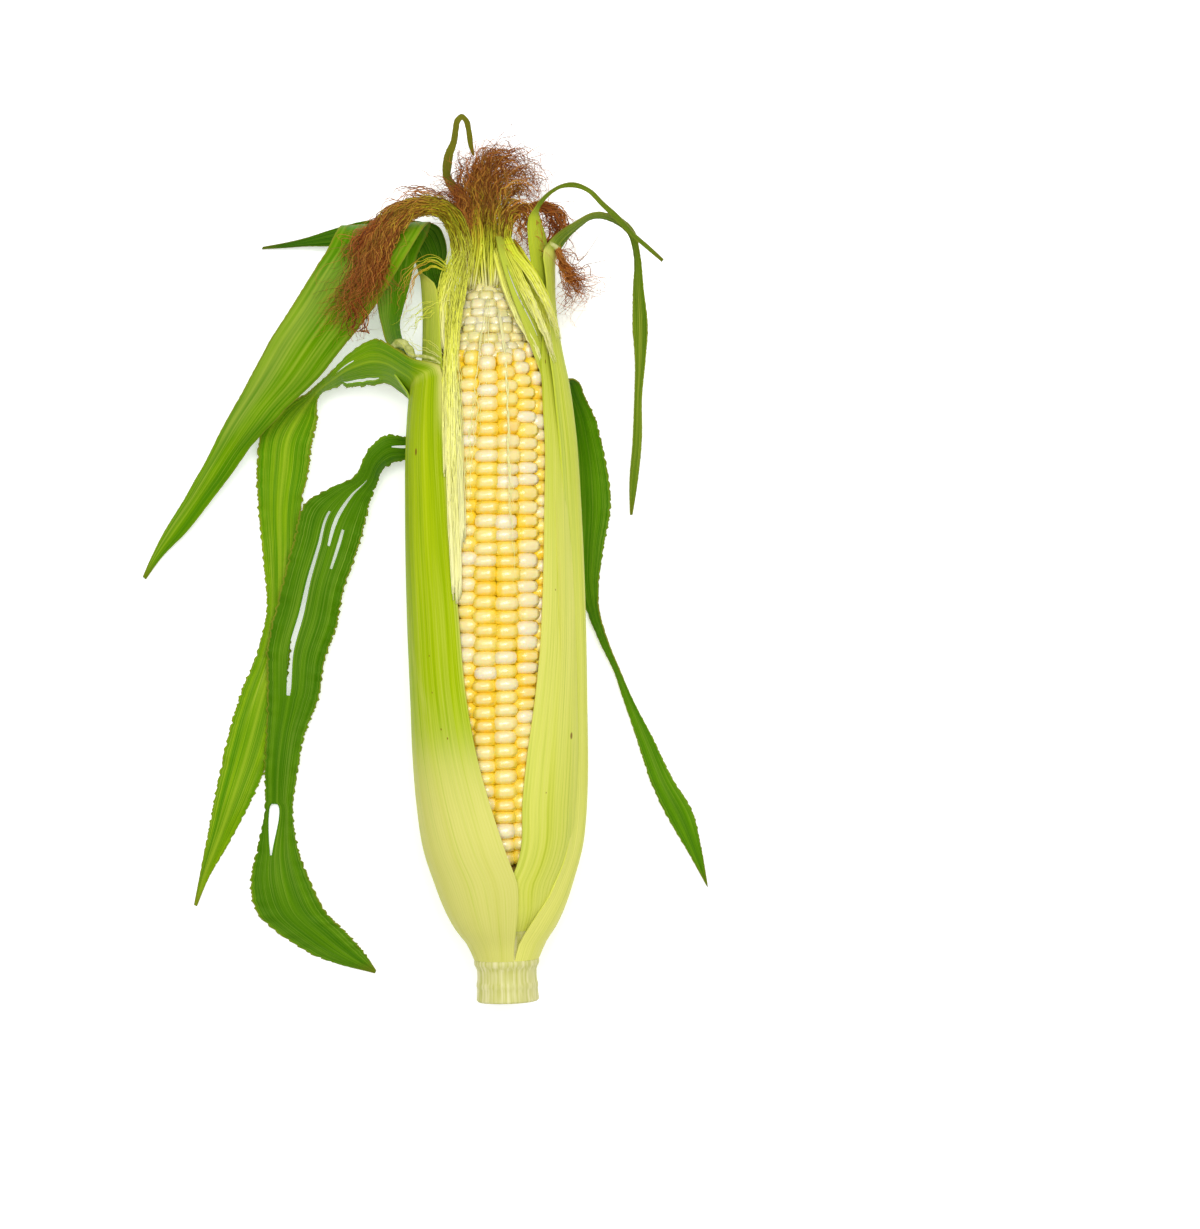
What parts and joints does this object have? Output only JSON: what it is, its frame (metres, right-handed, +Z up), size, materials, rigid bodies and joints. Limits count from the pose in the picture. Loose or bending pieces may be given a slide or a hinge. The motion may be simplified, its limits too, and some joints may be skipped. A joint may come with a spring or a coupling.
{
  "type": "corn cob",
  "caption": "Fresh ear of sweet corn lying on its back, husk peeled open in front to show the kernels, with long curled husk blades and brown silk.",
  "frame": {"origin": "centre of the bounding box in plan, on the surface that the ear lies on", "axes": "+Y along the ear from the cut stem to the tip, +Z up through the open front of the husk, +X to the right"},
  "size_m": [0.188, 0.2922, 0.0552],
  "materials": {
    "husk_green": "satin leaf",
    "husk_pale": "satin leaf",
    "blade_green": "satin leaf",
    "husk_inner": "satin leaf",
    "husk_dry": "dry leaf",
    "cob_core": "pithy",
    "stem": "fibrous",
    "kernel": "moist and glossy",
    "tip_kernel": "moist",
    "silk_brown": "dry strands",
    "silk_pale": "fresh strands"
  },
  "bodies": {
    "root": {"cob": "cob_core", "shank": "stem", "tip_kernels": "tip_kernel", "kernel_row_01": "kernel", "kernel_row_02": "kernel", "kernel_row_03": "kernel", "kernel_row_04": "kernel", "kernel_row_05": "kernel", "kernel_row_06": "kernel", "kernel_row_07": "kernel", "kernel_row_08": "kernel", "kernel_row_09": "kernel", "kernel_row_10": "kernel", "kernel_row_11": "kernel", "kernel_row_12": "kernel", "kernel_row_13": "kernel", "kernel_row_14": "kernel", "kernel_row_15": "kernel", "kernel_row_16": "kernel", "kernel_row_17": "kernel", "kernel_row_18": "kernel", "kernel_row_19": "kernel", "kernel_row_20": "kernel", "leaf_left_outer": "husk_green", "leaf_back_top": "blade_green", "leaf_back_left": "blade_green", "leaf_left_back": "blade_green", "leaf_right_back": "blade_green", "leaf_right_outer": "husk_pale", "leaf_right_front": "husk_pale", "leaf_left_inner": "husk_inner", "leaf_right_inner": "husk_inner", "leaf_center_inner": "husk_dry", "silk_top": "silk_brown", "silk_left": "silk_brown", "silk_right": "silk_brown", "silk_center": "silk_pale", "silk_pale_left": "silk_pale", "silk_pale_right": "silk_pale"}
  },
  "joints": []
}
